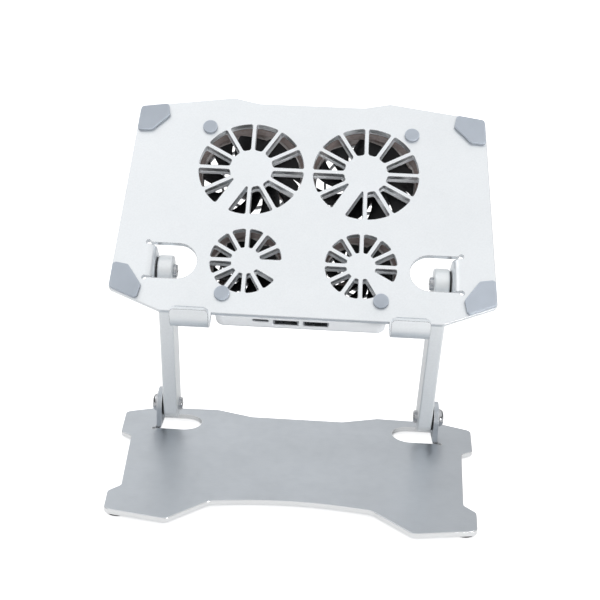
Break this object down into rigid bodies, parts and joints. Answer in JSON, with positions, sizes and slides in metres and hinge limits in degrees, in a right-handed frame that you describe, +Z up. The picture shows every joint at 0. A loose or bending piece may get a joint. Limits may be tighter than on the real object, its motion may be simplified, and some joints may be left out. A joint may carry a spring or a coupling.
{
  "type": "laptop cooling pad",
  "caption": "Foldable laptop cooling stand: a slotted metal tray with fans, soft pads and front stop hooks, held above a footed base plate by pivoting arms.",
  "frame": {"origin": "middle of the stand's footprint, level with the undersides of the feet", "axes": "+X to the user's right, +Y away from the user, +Z up"},
  "size_m": [0.2122, 0.1566, 0.1969],
  "materials": {
    "base_metal": "brushed",
    "arm_metal": "satin",
    "tray_metal": "bead-blasted satin",
    "foot_rubber": "matte",
    "pivot_chrome": "polished",
    "washer": "matte",
    "pad_silicone": "matte",
    "lip_silicone": "matte",
    "housing_plastic": "satin",
    "cover_plastic": "satin",
    "screw_steel": "satin",
    "board": "satin",
    "port_steel": "satin",
    "fan_frame_plastic": "semi-gloss",
    "winding": "satin",
    "bearing_brass": "satin",
    "impeller_plastic": "semi-gloss",
    "magnet": "matte",
    "shaft_steel": "polished"
  },
  "bodies": {
    "base": {"base_plate": "base_metal", "foot_front_left": "foot_rubber", "foot_front_right": "foot_rubber", "foot_rear_left": "foot_rubber", "foot_rear_right": "foot_rubber", "base_pivot_bolt_left": "pivot_chrome", "base_pivot_bolt_right": "pivot_chrome", "base_pivot_nut_left": "pivot_chrome", "base_pivot_nut_right": "pivot_chrome", "base_pivot_washers": "washer"},
    "arms": {"arm_left": "arm_metal", "arm_right": "arm_metal"},
    "tray": {"tray_plate": "tray_metal", "tray_pivot_bolt_left": "pivot_chrome", "tray_pivot_bolt_right": "pivot_chrome", "tray_pivot_nut_left": "pivot_chrome", "tray_pivot_nut_right": "pivot_chrome", "tray_pivot_washers": "washer", "corner_pad_front_left": "pad_silicone", "corner_pad_front_right": "pad_silicone", "corner_pad_rear_left": "pad_silicone", "corner_pad_rear_right": "pad_silicone", "round_pad_front_left": "pad_silicone", "round_pad_front_right": "pad_silicone", "round_pad_rear_left": "pad_silicone", "round_pad_rear_right": "pad_silicone", "lip_pad_left": "lip_silicone", "lip_pad_right": "lip_silicone", "fan_housing": "housing_plastic", "fan_housing_cover": "cover_plastic", "housing_screws": "screw_steel", "cover_screws": "screw_steel", "control_board": "board", "usb_a_port_left": "port_steel", "usb_a_port_right": "port_steel", "usb_c_port": "port_steel", "fan_frame_large_left": "fan_frame_plastic", "fan_frame_large_right": "fan_frame_plastic", "fan_frame_small_left": "fan_frame_plastic", "fan_frame_small_right": "fan_frame_plastic", "stator_large_left": "winding", "stator_large_right": "winding", "stator_small_left": "winding", "stator_small_right": "winding", "fan_bearings": "bearing_brass"},
    "impeller_large_left": {"impeller_large_left": "impeller_plastic", "rotor_magnet_large_left": "magnet", "shaft_large_left": "shaft_steel"},
    "impeller_large_right": {"impeller_large_right": "impeller_plastic", "rotor_magnet_large_right": "magnet", "shaft_large_right": "shaft_steel"},
    "impeller_small_left": {"impeller_small_left": "impeller_plastic", "rotor_magnet_small_left": "magnet", "shaft_small_left": "shaft_steel"},
    "impeller_small_right": {"impeller_small_right": "impeller_plastic", "rotor_magnet_small_right": "magnet", "shaft_small_right": "shaft_steel"}
  },
  "joints": [
    {"name": "base_hinge", "type": "hinge", "parent": "base", "child": "arms", "pos_m": [0, 0.0352, 0.0172], "axis": [1, 0, 0], "range_deg": [-25, 48]},
    {"name": "tray_hinge", "type": "hinge", "parent": "arms", "child": "tray", "pos_m": [0, 0.01053, 0.10801], "axis": [-1, 0, 0], "range_deg": [-20, 115]},
    {"name": "fan_spin_large_left", "type": "hinge", "parent": "tray", "child": "impeller_large_left", "pos_m": [-0.0326, 0.04917, 0.15563], "axis": [0, -0.7349, 0.6782], "continuous": true},
    {"name": "fan_spin_large_right", "type": "hinge", "parent": "tray", "child": "impeller_large_right", "pos_m": [0.0326, 0.04917, 0.15563], "axis": [0, -0.7349, 0.6782], "continuous": true},
    {"name": "fan_spin_small_left", "type": "hinge", "parent": "tray", "child": "impeller_small_left", "pos_m": [-0.0314, 0.00922, 0.11234], "axis": [0, -0.7349, 0.6782], "continuous": true},
    {"name": "fan_spin_small_right", "type": "hinge", "parent": "tray", "child": "impeller_small_right", "pos_m": [0.0314, 0.00922, 0.11234], "axis": [0, -0.7349, 0.6782], "continuous": true}
  ]
}
